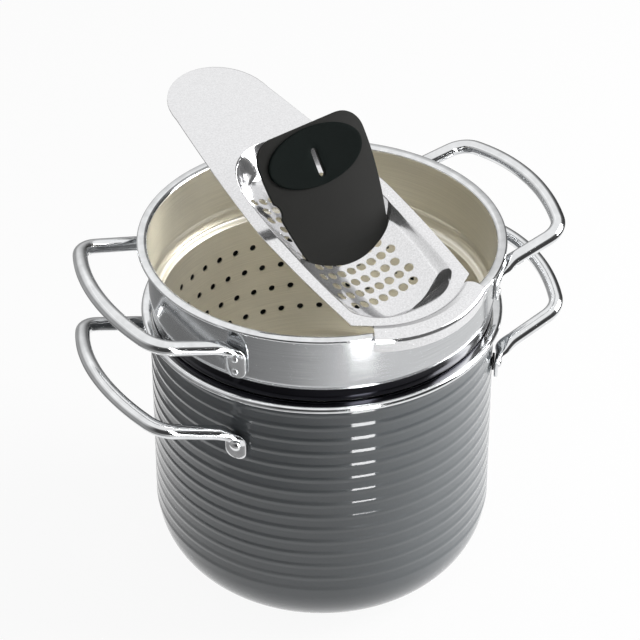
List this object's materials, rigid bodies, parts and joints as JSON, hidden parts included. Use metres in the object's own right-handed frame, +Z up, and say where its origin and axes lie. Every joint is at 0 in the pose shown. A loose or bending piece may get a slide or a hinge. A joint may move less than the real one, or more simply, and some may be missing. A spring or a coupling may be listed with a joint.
{
  "type": "spaetzle maker",
  "caption": "Pot with a lift-out draining insert, a perforated spaetzle chute hooked on the insert's rim, and a scraper that slides along the chute.",
  "frame": {"origin": "centre of the pot's flat bottom, where it stands", "axes": "+Z up along the pot's axis, X through the middles of the handles, -Y the side where the chute is hooked on the rim"},
  "size_m": [0.344, 0.2779, 0.3438],
  "materials": {
    "enamel": "satin grey enamel",
    "steel": "mirror polished",
    "blade_plastic": "matte black",
    "grip_plastic": "smooth dark oval",
    "spacer_plastic": "dark, heat resistant"
  },
  "bodies": {
    "pot": {"pot_shell": "enamel", "pot_rim_ring": "steel", "pot_handle_left": "steel", "pot_handle_right": "steel", "pot_rivet_left_front": "steel", "pot_rivet_left_back": "steel", "pot_rivet_right_front": "steel", "pot_rivet_right_back": "steel", "pot_spacer_left_front": "spacer_plastic", "pot_spacer_left_back": "spacer_plastic", "pot_spacer_right_front": "spacer_plastic", "pot_spacer_right_back": "spacer_plastic"},
    "insert": {"insert_shell": "steel", "insert_handle_left": "steel", "insert_handle_right": "steel", "insert_welds_left_front": "steel", "insert_welds_left_back": "steel", "insert_welds_right_front": "steel", "insert_welds_right_back": "steel"},
    "chute": {"chute_tray": "steel"},
    "scraper": {"scraper_blade": "blade_plastic", "scraper_grip": "grip_plastic"}
  },
  "joints": [
    {"name": "insert_lift", "type": "slide", "parent": "pot", "child": "insert", "axis": [0, 0, 1], "range_m": [0, 0.13]},
    {"name": "chute_tilt", "type": "hinge", "parent": "insert", "child": "chute", "pos_m": [0.01637, -0.11954, 0.2617], "axis": [0.986, 0.1668, 0], "range_deg": [-12, 10]},
    {"name": "scraper_stroke", "type": "slide", "parent": "chute", "child": "scraper", "axis": [-0.1624, 0.9603, 0.2267], "range_m": [-0.045, 0.03]}
  ]
}
